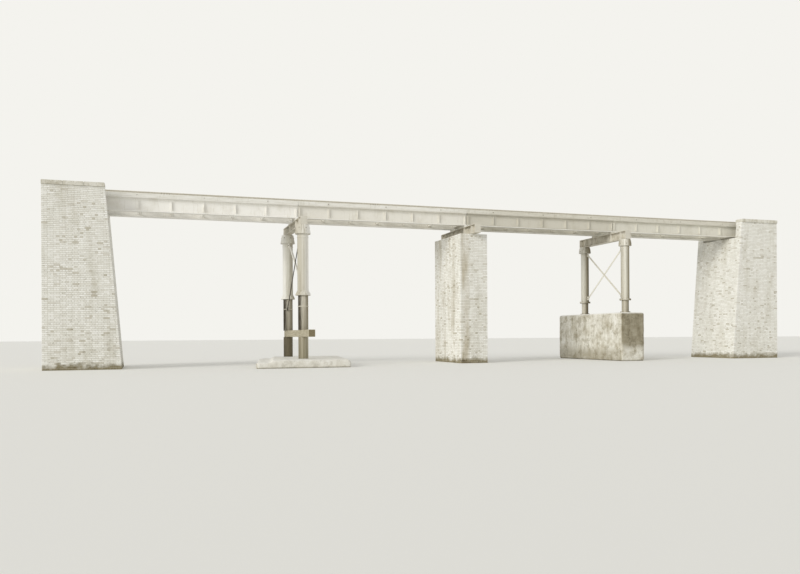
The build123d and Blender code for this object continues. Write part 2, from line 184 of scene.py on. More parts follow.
def take(piece):
    """Selects one object and no other, and makes it the active one."""
    bpy.ops.object.select_all(action="DESELECT")
    piece.select_set(True)
    bpy.context.view_layer.objects.active = piece


def edit(piece):
    """Opens one object in edit mode with all of it selected."""
    take(piece)
    bpy.ops.object.mode_set(mode="EDIT")
    bpy.ops.mesh.select_all(action="SELECT")


square_on = 0.9  # the cosine past which a face is taken to look one way


def pick_faces(piece, wanted):
    """Selects only the wanted faces of the object in edit mode."""
    bpy.ops.mesh.select_mode(type="FACE")
    bpy.ops.mesh.select_all(action="DESELECT")
    bpy.ops.object.mode_set(mode="OBJECT")
    for face in piece.data.polygons:
        face.select = wanted(face)
    bpy.ops.object.mode_set(mode="EDIT")


def leave_edit():
    """Closes edit mode and leaves nothing selected."""
    bpy.ops.object.mode_set(mode="OBJECT")
    bpy.ops.object.select_all(action="DESELECT")


def bevel(piece, width, wanted=None, segments=1):
    """Bevels all edges of a piece, or only those of the wanted faces."""
    edit(piece)
    if wanted:
        pick_faces(piece, wanted)
    bpy.ops.mesh.bevel(offset=width, segments=segments, affect="EDGES")
    leave_edit()


def modify(piece, kind, **settings):
    """Applies one modifier to a piece."""
    bpy.context.view_layer.objects.active = piece
    modifier = piece.modifiers.new(kind.lower(), kind)
    for key, value in settings.items():
        setattr(modifier, key, value)
    bpy.ops.object.modifier_apply(modifier=modifier.name)


def coat(piece, material):
    """Gives a piece one material and no other."""
    piece.data.materials.clear()
    piece.data.materials.append(material)


def box_between(low, high):
    """A box between two corners, with its place in its mesh."""
    bpy.ops.mesh.primitive_cube_add(size=1, location=(low + high) / 2, scale=high - low)
    bpy.ops.object.transform_apply(location=True, rotation=True, scale=True)
    return bpy.context.object


def repeat(piece, *steps):
    """Repeats a piece by one applied array for each pair of count and step."""
    for count, step in steps:
        modify(piece, "ARRAY", use_relative_offset=False, use_constant_offset=True,
               constant_offset_displace=step, count=count)
    return piece


def join(parts, name):
    """Joins parts into one object at the origin."""
    take(parts[0])
    for part in parts:
        part.select_set(True)
    if len(parts) > 1:
        bpy.ops.object.join()
    bpy.ops.object.transform_apply(location=True, rotation=True, scale=True)
    parts[0].name = name
    parts[0].data.name = name
    bpy.ops.object.select_all(action="DESELECT")
    return parts[0]


def stand_for(piece, node_name):
    """Lets a finished piece take the place of a CAD piece."""
    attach(piece, "root")
    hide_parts(node_name)


def cut_away(piece, point, outside):
    """Cuts off what lies beyond a plane and closes the cut."""
    edit(piece)
    bpy.ops.mesh.bisect(plane_co=point, plane_no=outside, use_fill=True, clear_outer=True)
    leave_edit()


def brick_face(low, high, out, stretchers, first_course, courses, ends, lean):
    """Every second course of one face of a block, as one brick shaped and then repeated."""
    along = Vector((0, 1, 0)) if out.x else Vector((1, 0, 0))
    run = (high - low).dot(along) - 2 * ends
    width = brick_length if stretchers else header_width
    count = max(1, round((run + perpend) / (width + perpend)))
    pitch = (run + perpend) / count
    rise = (high.z - low.z) / courses
    size = along * (pitch - perpend) + Vector(map(abs, out)) * brick_depth
    size.z = rise - brick_joint
    corner = Vector((high.x if out.x > 0 else low.x, high.y if out.y > 0 else low.y, low.z))
    centre = corner - out * brick_depth / 2
    centre += (low + along * (ends + (pitch - perpend) / 2) - centre).dot(along) * along
    centre.z = low.z + rise * (first_course + 0.5)
    centre.x += lean * rise * first_course
    brick = box_between(centre - size / 2, centre + size / 2)
    bevel(brick, brick_arris, lambda face: face.normal.dot(out) > square_on)
    coat(brick, old_brick)
    rows = (courses - first_course + 1) // 2
    return repeat(brick, (count, along * pitch), (rows, Vector((2 * rise * lean, 0, 2 * rise))))


def lay_bricks(low, high, lean=0.0):
    """A block in English bond on a mortar core, whose river face may lean back by lean for each metre up."""
    courses = round((high.z - low.z) / course_rise)
    inset = Vector((joint_recess, joint_recess, 0))
    core = box_between(low + inset, high - inset)
    coat(core, lime_mortar)
    middle = (low + high) / 2
    for corner in core.data.vertices:
        if corner.co.z > middle.z and (corner.co.x - middle.x) * lean < 0:
            corner.co.x += lean * (high.z - low.z)
    parts = [core]
    closer = brick_depth + perpend
    for out in (Vector((1, 0, 0)), Vector((-1, 0, 0)), Vector((0, 1, 0)), Vector((0, -1, 0))):
        face_lean = lean if out.x * lean < 0 else 0.0
        # A course of stretchers on two faces is a course of headers on the other two
        first = 0 if out.x else 1
        stretcher_courses = brick_face(low, high, out, True, first, courses, 0, face_lean)
        header_courses = brick_face(low, high, out, False, 1 - first, courses, closer, face_lean)
        if lean and out.y:
            river = Vector((-math.copysign(1, lean), 0, abs(lean)))
            foot = Vector((high.x if lean < 0 else low.x, 0, low.z))
            cut_away(stretcher_courses, foot, river)
            cut_away(header_courses, foot - Vector((river.x * closer, 0, 0)), river)
        parts += [stretcher_courses, header_courses]
    return parts


def uneven(wall):
    """Sets every brick a little out of true."""
    edit(wall)
    bpy.ops.transform.vertex_random(offset=out_of_true, seed=3)
    leave_edit()
    return wall


pier_wall = uneven(join(lay_bricks(*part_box("brick_pier")), "pier_brickwork"))
stand_for(pier_wall, "brick_pier")

# Abutments: the same brickwork as the pier, with a river face that leans back. The stem
# carries the girder seat, the backwall holds the bank off the girder ends, and a parapet
# stands on each side of the track.
for end, outward in (("left", -1), ("right", 1)):
    stem_low, stem_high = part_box(f"{end}_abutment")
    wall_low, wall_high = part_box(f"{end}_backwall")
    parapet_low, parapet_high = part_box(f"{end}_parapets")
    river_foot = stem_high.x if outward < 0 else stem_low.x
    river_seat = parapet_high.x if outward < 0 else parapet_low.x
    lean = (river_seat - river_foot) / (stem_high.z - stem_low.z)
    stem = uneven(join(lay_bricks(stem_low, stem_high, lean), f"{end}_abutment_brickwork"))
    stand_for(stem, f"{end}_abutment")
    backwall = uneven(join(lay_bricks(wall_low, wall_high), f"{end}_backwall_brickwork"))
    stand_for(backwall, f"{end}_backwall")
    near_parapet = lay_bricks(parapet_low, Vector((parapet_high.x, wall_low.y, parapet_high.z)), lean)
    far_parapet = lay_bricks(Vector((parapet_low.x, wall_high.y, parapet_low.z)), parapet_high, lean)
    parapets = uneven(join(near_parapet + far_parapet, f"{end}_parapet_brickwork"))
    stand_for(parapets, f"{end}_parapets")

# Copings: three dressed stones in a row on each parapet, weathered on top, bedded in lime
# with narrow joints. They oversail the brickwork on its outer and inner faces.
stones_in_row = 3
stone_joint = 0.008
stone_weathering = 0.03

# Sandstone, tooled and long weathered: matt and open grained. Its beds are about 400 mm thick, dark
# runs 170 mm wide, and the tooling holds lichen in spots of 45 mm.
dressed_stone, tree, place = new_material("weathered_dressed_sandstone")
beds = add_node(tree, "ShaderNodeTexNoise", {"Scale": cells(417), "Detail": 8.0, "Roughness": 0.65},
                {"Vector": place})
stone_tone = add_node(tree, "ShaderNodeValToRGB", {}, {"Fac": beds})
set_ramp(stone_tone, [(0.3, "#BDB8A8"), (0.5, "#D6D3C7"), (0.7, "#E6E4DC")])
stone_runs = stained(tree, stone_tone, streaks(tree, place, 167, 600, 5.0), 0.5, 0.75, 0.6, "#B9B098")
tooling = add_node(tree, "ShaderNodeTexNoise", {"Scale": cells(45.5), "Detail": 8.0, "Roughness": 0.7},
                   {"Vector": place})
lichen = stained(tree, stone_runs, tooling, 0.54, 0.66, 0.5, "#9D957F")
finish_material(tree, lichen, 0.9, tooling, 0.008)


def looks_up(face):
    """Whether a face looks up."""
    return face.normal.z > square_on


for end in ("left", "right"):
    low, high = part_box(f"{end}_copings")
    wall_low, wall_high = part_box(f"{end}_backwall")
    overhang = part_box(f"{end}_parapets")[0].y - low.y
    stone_length = (high.x - low.x + stone_joint) / stones_in_row
    stone = box_between(low, Vector((low.x + stone_length - stone_joint, wall_low.y + overhang, high.z)))
    bevel(stone, stone_weathering, looks_up, segments=2)
    coat(stone, dressed_stone)
    across = Vector((0, wall_high.y - overhang - low.y, 0))
    repeat(stone, (stones_in_row, Vector((stone_length, 0, 0))), (2, across))
    stand_for(join([stone], f"{end}_coping_stones"), f"{end}_copings")

# Pedestal and footing: rubble under a coat of lime render, both worn by the river. The coat
# is patchy, stained in drips, and has lost its arrises.
render_cell = 0.045
render_relief = 0.030
render_lump = 0.35
render_smoothing = 14
near_shade_from = 0.55
near_shade_full = 1.4
wet_top = 0.05
same_point = 0.0001
same_plane = math.radians(0.5)
render_crease = math.radians(40)


def facing(tree):
    """A node that gives, as X, Y and Z, the way each face looks."""
    surface = add_node(tree, "ShaderNodeNewGeometry", {}, {})
    return add_node(tree, "ShaderNodeSeparateXYZ", {}, {"Vector": surface.outputs["Normal"]})


# Lime render, trowelled on and worn to the grit: chalky and matt. It clouds over half a metre, drips
# leave bands 250 mm wide, the top coat comes off in flakes of about 370 mm, and pores are 50 mm
# across. Grit of 2 to 4 mm is too fine to show and is drawn at 15 mm.
lime_render, tree, place = new_material("worn_shaded_and_lit_lime_render")
clouds = add_node(tree, "ShaderNodeTexNoise", {"Scale": cells(526), "Detail": 9.0, "Roughness": 0.68},
                  {"Vector": place})
render_tone = add_node(tree, "ShaderNodeValToRGB", {}, {"Fac": clouds})
set_ramp(render_tone, [(0.32, "#B3AC99"), (0.43, "#CCC7B8"), (0.52, "#DEDBD0"), (0.62, "#EAE8E0")])
dripped = stained(tree, render_tone, streaks(tree, place, 250, 1300, 7.0), 0.46, 0.72, 0.6, "#BAB29C")
pores = add_node(tree, "ShaderNodeTexNoise", {"Scale": cells(52.6), "Detail": 8.0, "Roughness": 0.7},
                 {"Vector": place})
porous = stained(tree, dripped, pores, 0.56, 0.66, 0.55, "#9D957F")
flakes = add_node(tree, "ShaderNodeTexNoise", {"Scale": cells(370), "Detail": 10.0, "Roughness": 0.75},
                  {"Vector": place})
flaked = stained(tree, porous, flakes, 0.545, 0.56, 0.5, "#B9B29F")
grit = add_node(tree, "ShaderNodeTexNoise", {"Scale": cells(15.4), "Detail": 6.0, "Roughness": 0.7},
                {"Vector": place})
gritty = stained(tree, flaked, grit, 0.5, 0.7, 0.45, "#A8A08B")
coat_depth = add_node(tree, "ShaderNodeMapRange",
                      {"From Min": 0.54, "From Max": 0.565, "To Min": 1.0, "To Max": 0.6}, {"Value": flakes})
coat_relief = add_node(tree, "ShaderNodeMath", {"operation": "MULTIPLY_ADD", 1: 0.5},
                       {0: grit, 2: coat_depth})
# Painted shade darkens the upper part of the near faces, painted light pales the tops, spates scour
# the footing pale, and a flood mark runs low along the faces turned left
turned = facing(tree)
where = add_node(tree, "ShaderNodeSeparateXYZ", {}, {"Vector": place})
near_shade_height = add_node(tree, "ShaderNodeMath", {"operation": "MULTIPLY_ADD", 1: 0.9},
                       {0: clouds, 2: where.outputs["Z"]})
high_up = add_node(tree, "ShaderNodeMapRange", {"From Min": near_shade_from, "From Max": near_shade_full},
                   {"Value": near_shade_height})
# Painted shade: the near faces are darker, the more so higher up
near_side = add_node(tree, "ShaderNodeMath", {"operation": "MULTIPLY"},
                     {0: turned.outputs["Y"], 1: high_up})
near_face_shaded = stained(tree, gritty, near_side, -0.5, -0.9, 0.85, "#A69E88")
# Painted light: faces that look up are paler
top_light = add_node(tree, "ShaderNodeMapRange", {"From Min": 0.3, "From Max": 0.8, "To Max": 0.75},
                    {"Value": turned.outputs["Z"]})
spate_wear = add_node(tree, "ShaderNodeMapRange", {"From Min": 0.0, "From Max": -1.0, "To Max": 0.45},
                      {"Value": where.outputs["X"]})
top_light_and_scour = add_node(tree, "ShaderNodeMath", {"operation": "MAXIMUM"}, {0: top_light, 1: spate_wear})
lit_and_scoured = stained(tree, near_face_shaded, top_light_and_scour, 0.0, 1.0, 1.0, "#EDEBE4", "MIX")
flood = add_node(tree, "ShaderNodeMath", {"operation": "MULTIPLY_ADD", 1: -1.2},
                 {0: clouds, 2: where.outputs["Z"]})
flood_side = add_node(tree, "ShaderNodeMath", {"operation": "ADD"}, {0: flood, 1: turned.outputs["X"]})
flood_mark = stained(tree, lit_and_scoured, flood_side, -0.9, -1.25, 0.55, "#A59D86")
wet_edge = stained(tree, flood_mark, where.outputs["Z"], wet_top, 0.0, 0.9, "#8B8269")
finish_material(tree, wet_edge, 0.93, coat_relief, 0.012)


def merged_copy(node_name):
    """A copy of a CAD piece whose loose triangles are merged into whole faces."""
    take(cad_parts[node_name])
    bpy.ops.object.duplicate()
    copy = bpy.context.object
    edit(copy)
    bpy.ops.mesh.remove_doubles(threshold=same_point)
    bpy.ops.mesh.dissolve_limited(angle_limit=same_plane)
    leave_edit()
    return copy


def render_over(node_name, piece_name):
    """A copy of a masonry block with a worn skin, hollowed here and there but nowhere proud of the block."""
    block = merged_copy(node_name)
    modify(block, "REMESH", mode="VOXEL", voxel_size=render_cell)
    modify(block, "SMOOTH", factor=0.5, iterations=render_smoothing)
    lumps = bpy.data.textures.new(f"{piece_name}_lumps", "CLOUDS")
    lumps.noise_scale = render_lump
    lumps.noise_depth = 3
    modify(block, "DISPLACE", texture=lumps, strength=render_relief)
    low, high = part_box(node_name)
    for corner in block.data.vertices:
        corner.co = [min(max(value, least), most) for value, least, most in zip(corner.co, low, high)]
        if corner.co.z < render_relief / 2:
            corner.co.z = low.z
    coat(block, lime_render)
    take(block)
    bpy.ops.object.shade_smooth_by_angle(angle=render_crease)
    stand_for(join([block], piece_name), node_name)


render_over("right_pedestal", "pedestal_render")
render_over("left_footing", "footing_render")

# Girders, cross frames, bearings and crossheads: wrought iron plates and angles, riveted up in
# the works and bolted together on site, under coats of pale oil paint. Each span's paint has its
# own tone, a painted light that is brightest on the first span and dimmest on the third.
spans = 4
span_length = 8.100
bridge_end = span_length * spans / 2
plate_arris = 0.003
flange_plate = 0.020
crosshead_web_edge = 0.09
crosshead_lip = 0.12
arris_angle = math.radians(35)
crease_angle = math.radians(30)
girder_low, girder_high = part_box("girder_near_1")

# Lead oil paint on wrought iron, brushed on and chalked by the sun: matt and pale, with a painted
# highlight along the edge of the bottom flange, rain runs 60 mm wide and rust spots of 40 mm. Brush
# marks are about 1 mm, which would not show, so they are drawn at 22 mm.
oil_paint, tree, place = new_material("chalked_and_lit_oil_paint")
along_track = add_node(tree, "ShaderNodeSeparateXYZ", {}, {"Vector": place})
span_place = add_node(tree, "ShaderNodeMapRange", {"From Min": -bridge_end, "From Max": bridge_end},
                      {"Value": along_track.outputs["X"]})
# Painted light: each span is given its own brightness, brightest on the first and dimmest on the third
span_light_tone = add_node(tree, "ShaderNodeValToRGB", {}, {"Fac": span_place})
set_ramp(span_light_tone, [(0.0, "#F2F0EA"), (0.25, "#E6E3DA"), (0.5, "#CFCBBE"), (0.75, "#DBD8CC")])
span_light_tone.color_ramp.interpolation = "CONSTANT"
chalk = add_node(tree, "ShaderNodeTexNoise", {"Scale": cells(769), "Detail": 7.0, "Roughness": 0.65},
                 {"Vector": place})
chalked = stained(tree, span_light_tone, chalk, 0.5, 0.75, 0.5, "#D9D5C9")
rained = stained(tree, chalked, streaks(tree, place, 62.5, 700, 5.0), 0.58, 0.78, 0.45, "#BFB8A4")
# Painted highlight: the faces of the bottom flange's edge are painted near white
at_flange = add_node(tree, "ShaderNodeMath",
                     {"operation": "COMPARE", 1: girder_low.z + flange_plate / 2, 2: flange_plate / 2},
                     {0: along_track.outputs["Z"]})
plate_turned = facing(tree)
faces_out = add_node(tree, "ShaderNodeMath", {"operation": "ABSOLUTE"}, {0: plate_turned.outputs["Y"]})
flange_edge = add_node(tree, "ShaderNodeMath", {"operation": "MULTIPLY"}, {0: at_flange, 1: faces_out})
flange_edge_highlight = stained(tree, rained, flange_edge, 0.5, 1.0, 0.9, "#FAF9F4", "MIX")
rust_spots = add_node(tree, "ShaderNodeTexNoise", {"Scale": cells(38.5), "Detail": 6.0, "Roughness": 0.7},
                      {"Vector": place})
rusted = stained(tree, flange_edge_highlight, rust_spots, 0.67, 0.74, 0.6, "#A08B6A")
brush_marks = add_node(tree, "ShaderNodeTexNoise", {"Scale": cells(22.2), "Detail": 5.0}, {"Vector": place})
finish_material(tree, rusted, 0.6, brush_marks, 0.002)

# The same paint on the crossheads, which no rain reaches under the deck: soot clouds it over 300 mm
# and drips leave bands of 70 mm. The near ends and the outer parts of the flanges are painted paler,
# a painted light.
sooty_paint, tree, place = new_material("soot_stained_oil_paint")
soot = add_node(tree, "ShaderNodeTexNoise", {"Scale": cells(312.5), "Detail": 7.0, "Roughness": 0.65},
                {"Vector": place})
soot_tone = add_node(tree, "ShaderNodeValToRGB", {}, {"Fac": soot})
set_ramp(soot_tone, [(0.3, "#A8A18E"), (0.5, "#C4BEAE"), (0.65, "#D5D1C5")])
soot_drips = stained(tree, soot_tone, streaks(tree, place, 71.4, 350, 5.0), 0.55, 0.72, 0.6, "#9C947E")
soot_side = facing(tree)
# Painted light: the near end faces and the flanges' outer parts are painted paler
lit_near_end = add_node(tree, "ShaderNodeMapRange", {"From Min": -0.7, "From Max": -0.95, "To Max": 0.75},
                      {"Value": soot_side.outputs["Y"]})
soot_place = add_node(tree, "ShaderNodeSeparateXYZ", {}, {"Vector": place})
off_web = add_node(tree, "ShaderNodeMath", {"operation": "PINGPONG", 1: span_length / 2},
                   {0: soot_place.outputs["X"]})
lit_flange_edge = add_node(tree, "ShaderNodeMapRange",
                       {"From Min": crosshead_web_edge, "From Max": crosshead_lip, "To Max": 0.6},
                       {"Value": off_web})
crosshead_painted_light = add_node(tree, "ShaderNodeMath", {"operation": "MAXIMUM"}, {0: lit_near_end, 1: lit_flange_edge})
soot_and_painted_light = stained(tree, soot_drips, crosshead_painted_light, 0.0, 1.0, 1.0, "#D6D2C6", "MIX")
finish_material(tree, soot_and_painted_light, 0.65, soot, 0.002)


def eased(node_name, piece_name, arris, material):
    """Stands for a CAD piece with its arrises eased and its round faces smooth."""
    piece = merged_copy(node_name)
    modify(piece, "BEVEL", width=arris, limit_method="ANGLE", angle_limit=arris_angle)
    coat(piece, material)
    take(piece)
    bpy.ops.object.shade_smooth_by_angle(angle=crease_angle)
    stand_for(join([piece], piece_name), node_name)
    return piece


for number in range(1, spans + 1):
    for side in ("near", "far"):
        eased(f"girder_{side}_{number}", f"girder_{side}_{number}_plates",
              plate_arris, oil_paint)
    eased(f"cross_frames_{number}", f"cross_frames_{number}_bars",
          plate_arris, oil_paint)
for support in ("left", "pier", "right"):
    eased(f"{support}_crosshead", f"{support}_crosshead_plates",
          plate_arris, sooty_paint)
eased("bearings", "bearing_plates", plate_arris, oil_paint)

# Rivets: snap heads 35 mm across at 100 mm centres through webs, angles and flanges, closed
# hot, and a double row of them in the table of every stiffener
rivet_radius = 0.0175
rivet_height = 0.014
rivet_sides = 8
rivet_rings = 4
rivet_pitch = 0.100
rivet_line = 0.065
flange_line = 0.056
leg_face = 0.018
table_line = 0.040
table_pitch = 0.095
table_rows = 4
stiffener_inset = 0.070
stiffener_pitch = 1.3233
stiffeners = 7
track_width = 1.502


def turned_to(piece, out, place):
    """Turns a piece made along +Z to point outwards, and sets it at its place."""
    take(piece)
    piece.rotation_euler = out.to_track_quat("Z", "Y").to_euler()
    piece.location = place
    bpy.ops.object.transform_apply(location=True, rotation=True, scale=True)
    return piece


def rivet(out, place):
    """A snap head: an eight sided dome with a flat underside."""
    bpy.ops.mesh.primitive_uv_sphere_add(segments=rivet_sides, ring_count=rivet_rings, radius=rivet_radius)
    head = bpy.context.object
    edit(head)
    bpy.ops.mesh.bisect(plane_co=(0, 0, 0), plane_no=(0, 0, -1), use_fill=True, clear_outer=True)
    bpy.ops.mesh.select_all(action="SELECT")
    bpy.ops.transform.resize(value=(1, 1, rivet_height / rivet_radius))
    leave_edit()
    coat(head, oil_paint)
    return turned_to(head, out, place)


girder_y = (girder_low.y + girder_high.y) / 2
row_count = round((girder_high.x - girder_low.x) / rivet_pitch) - 1
row_start = (girder_low.x + girder_high.x - (row_count - 1) * rivet_pitch) / 2
middle_z = (girder_low.z + girder_high.z) / 2
rivets = []
for face in (-1, 1):
    out = Vector((0, face, 0))
    edge_row = rivet(out, Vector((row_start, girder_y + face * leg_face, girder_low.z + rivet_line)))
    row_rise = Vector((0, 0, girder_high.z - girder_low.z - 2 * rivet_line))
    rivets.append(repeat(edge_row, (row_count, Vector((rivet_pitch, 0, 0))), (2, row_rise)))
    flange_row = rivet(Vector((0, 0, -1)), Vector((row_start, girder_y + face * flange_line, girder_low.z)))
    rivets.append(repeat(flange_row, (row_count, Vector((rivet_pitch, 0, 0)))))
    table_corner = Vector((girder_low.x + stiffener_inset - table_line, girder_y + face * leg_face,
                           middle_z - (table_rows - 1) / 2 * table_pitch))
    table_rivets = rivet(out, table_corner)
    rivets.append(repeat(table_rivets, (2, Vector((2 * table_line, 0, 0))),
                         (table_rows, Vector((0, 0, table_pitch))),
                         (stiffeners, Vector((stiffener_pitch, 0, 0)))))
girder_rivets = repeat(join(rivets, "girder_rivets"), (2, Vector((0, track_width, 0))),
                       (spans, Vector((span_length, 0, 0))))
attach(girder_rivets, "root")

# Crosshead angles: four rolled angles along each crosshead join its web to its flange plates,
# riveted through the web, and more rivets hold the plate that closes each end
crosshead_plate = 0.018
crosshead_web = 0.008
angle_leg = 0.070
angle_thickness = 0.010
end_rivet_x = 0.100


def crosshead_angle(low, high, x_side, z_side):
    """One angle in the corner between the web and a flange plate."""
    middle_x = (low.x + high.x) / 2
    plate_face = low.z + crosshead_plate if z_side < 0 else high.z - crosshead_plate
    corner = Vector((middle_x + x_side * crosshead_web, low.y + crosshead_plate, plate_face))
    tip = Vector((corner.x + x_side * angle_leg, high.y - crosshead_plate,
                  plate_face - z_side * angle_thickness))
    angle = box_between(Vector(map(min, corner, tip)), Vector(map(max, corner, tip)))
    edit(angle)
    bpy.ops.mesh.bisect(plane_co=(corner.x + x_side * angle_thickness, 0, 0), plane_no=(1, 0, 0))
    pick_faces(angle, lambda face: abs(face.center.x - corner.x) < angle_thickness
               and face.normal.z * z_side < -square_on)
    standing = Vector((0, 0, -z_side * (angle_leg - angle_thickness)))
    bpy.ops.mesh.extrude_region_move(TRANSFORM_OT_translate={"value": standing})
    leave_edit()
    coat(angle, sooty_paint)
    row_x = corner.x + x_side * angle_thickness
    row_z = plate_face - z_side * (angle_leg + angle_thickness) / 2
    count = int((tip.y - corner.y) / rivet_pitch)
    first_y = (corner.y + tip.y - (count - 1) * rivet_pitch) / 2
    row = rivet(Vector((x_side, 0, 0)), Vector((row_x, first_y, row_z)))
    return [angle, repeat(row, (count, Vector((0, rivet_pitch, 0))))]


crosshead_parts = []
for support in ("left", "pier", "right"):
    low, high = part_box(f"{support}_crosshead")
    for x_side in (-1, 1):
        for z_side in (-1, 1):
            crosshead_parts += crosshead_angle(low, high, x_side, z_side)
    end_rise = (high.z - low.z) / 3
    end_x = (low.x + high.x) / 2 - end_rivet_x
    end_z = (low.z + high.z - end_rise) / 2
    for out_y, face_y in ((-1, low.y), (1, high.y)):
        end_rivet = rivet(Vector((0, out_y, 0)), Vector((end_x, face_y, end_z)))
        crosshead_parts.append(repeat(end_rivet, (2, Vector((2 * end_rivet_x, 0, 0))),
                                      (2, Vector((0, 0, end_rise)))))
crosshead_angles = join(crosshead_parts, "crosshead_angles")
coat(crosshead_angles, sooty_paint)
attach(crosshead_angles, "root")

# Columns and legs: cast iron, turned on the flanges only, so a sandy skin shows under the
# paint. Rain has streaked the shafts, the lower lengths are grimy from the river, and their sides
# carry painted shade and painted light.
collar_level = 3.046
sill_level = 1.4
bead_level = 2.573
bead_half = 0.022
column_top = 7.0
casting_arris = 0.004
# the way the shaded side of the right bent's columns faces, where painted shade darkens them
shade_side_direction = (0.82, -0.57, 0.0)

# Oil paint on cast iron: a matt, slightly grainy skin, palest high up. Streaks are 80 mm wide and
# over 3 m long, drips 30 mm wide and 500 mm long. Moulding sand leaves a grain under 1 mm, which
# would not show, so it is drawn at 8 mm.
column_paint, tree, place = new_material("stained_shaded_and_lit_paint_on_cast_iron")
level = add_node(tree, "ShaderNodeSeparateXYZ", {}, {"Vector": place})
grime_height = add_node(tree, "ShaderNodeMapRange", {"From Min": 0.0, "From Max": column_top},
                        {"Value": level.outputs["Z"]})
column_tone = add_node(tree, "ShaderNodeValToRGB", {}, {"Fac": grime_height})
set_ramp(column_tone, [(0.05, "#9A937C"), (0.175, "#ABA48F"), (0.225, "#C6C0B0"), (0.43, "#D2CDBF"),
                       (0.437, "#D3CFC2"), (0.6, "#D9D6CA"), (0.82, "#DEDBD1")])
shaft_streaks = streaks(tree, place, 76.9, 3200, 3.0)
streaked = stained(tree, column_tone, shaft_streaks, 0.5, 0.62, 0.45, "#B3AB97")
drip_marks = streaks(tree, place, 29.4, 500, 4.0)
dripped = stained(tree, streaked, drip_marks, 0.55, 0.7, 0.35, "#BBB4A0")

# Where each stain or painted shade lies: a node that is 1 on some lengths of column and 0 on all others
skin_face = add_node(tree, "ShaderNodeNewGeometry", {}, {})
skin_turned = add_node(tree, "ShaderNodeSeparateXYZ", {}, {"Vector": skin_face.outputs["Normal"]})
right_bent = add_node(tree, "ShaderNodeMath", {"operation": "GREATER_THAN", 1: 0.0}, {0: level.outputs["X"]})
far_right = add_node(tree, "ShaderNodeMath", {"operation": "MULTIPLY", "use_clamp": True},
                     {0: right_bent, 1: level.outputs["Y"]})
near_right = add_node(tree, "ShaderNodeMath", {"operation": "SUBTRACT"}, {0: right_bent, 1: far_right})
below_collar = add_node(tree, "ShaderNodeMath", {"operation": "LESS_THAN", 1: collar_level},
                        {0: level.outputs["Z"]})
below_sill = add_node(tree, "ShaderNodeMath", {"operation": "LESS_THAN", 1: sill_level},
                      {0: level.outputs["Z"]})
lower_length = add_node(tree, "ShaderNodeMath", {"operation": "SUBTRACT"}, {0: below_collar, 1: below_sill})
left_lower = add_node(tree, "ShaderNodeMath", {"operation": "SUBTRACT", "use_clamp": True},
                      {0: lower_length, 1: right_bent})
off_right = add_node(tree, "ShaderNodeMath", {"operation": "SUBTRACT", 0: 1.0}, {1: right_bent})
left_upper = add_node(tree, "ShaderNodeMath", {"operation": "SUBTRACT", "use_clamp": True},
                      {0: off_right, 1: below_collar})

# Right bent: painted shade on the side turned from the sun, and most on the far column
shade_side_turn = add_node(tree, "ShaderNodeVectorMath", {"operation": "DOT_PRODUCT", 1: shade_side_direction},
                    {0: skin_face.outputs["Normal"]})
shade_side = add_node(tree, "ShaderNodeMath", {"operation": "MULTIPLY"},
                    {0: right_bent, 1: shade_side_turn.outputs["Value"]})
side_shaded = stained(tree, dripped, shade_side, 0.1, 0.85, 0.95, "#A29A84")
far_turned = add_node(tree, "ShaderNodeMath", {"operation": "MULTIPLY_ADD"},
                      {0: far_right, 1: skin_turned.outputs["X"], 2: far_right})
far_side_shaded = stained(tree, side_shaded, far_turned, 0.25, 0.8, 0.55, "#A69E88")

# Left bent: painted shade on the right of the lower columns, dark streaks down their left, the legs
# darker on their left, and painted shade on the far leg and a little on the far lower column
left_lower_turn = add_node(tree, "ShaderNodeMath", {"operation": "MULTIPLY"},
                       {0: left_lower, 1: skin_turned.outputs["X"]})
lower_right_shaded = stained(tree, far_side_shaded, left_lower_turn, 0.0, 0.8, 0.85, "#A69E88")
left_dark_streaks = add_node(tree, "ShaderNodeMath", {"operation": "MULTIPLY"}, {0: left_lower_turn, 1: drip_marks})
left_streaked = stained(tree, lower_right_shaded, left_dark_streaks, -0.08, -0.37, 1.0, "#4E4634")
leg_side = add_node(tree, "ShaderNodeMath", {"operation": "MULTIPLY"},
                    {0: below_sill, 1: skin_turned.outputs["X"]})
legs_darker_left = stained(tree, left_streaked, leg_side, -0.4, -0.9, 0.5, "#8B8269")
far_low = add_node(tree, "ShaderNodeMath", {"operation": "MULTIPLY_ADD", 1: 0.2},
                   {0: left_lower, 2: below_sill})
far_low_shade = add_node(tree, "ShaderNodeMath", {"operation": "MULTIPLY", "use_clamp": True},
                    {0: far_low, 1: level.outputs["Y"]})
far_low_shaded = stained(tree, legs_darker_left, far_low_shade, 0.0, 1.0, 0.85, "#8B8269")

# Right bent: painted shade low on the far column's shaded side, the near column darker lower down,
# and a dark left edge down the near one
far_right_low = add_node(tree, "ShaderNodeMath", {"operation": "MULTIPLY"}, {0: far_turned, 1: below_collar})
far_right_low_shaded = stained(tree, far_low_shaded, far_right_low, 0.25, 0.8, 0.5, "#A69E88")
near_right_low = add_node(tree, "ShaderNodeMath", {"operation": "MULTIPLY"},
                          {0: near_right, 1: below_collar})
near_right_lower_darker = stained(tree, far_right_low_shaded, near_right_low, 0.0, 1.0, 0.22, "#9C947D")
near_right_side = add_node(tree, "ShaderNodeMath", {"operation": "MULTIPLY"},
                           {0: near_right, 1: skin_turned.outputs["X"]})
near_left_edge_darker = stained(tree, near_right_lower_darker, near_right_side, -0.6, -0.95, 0.45, "#A69E88")

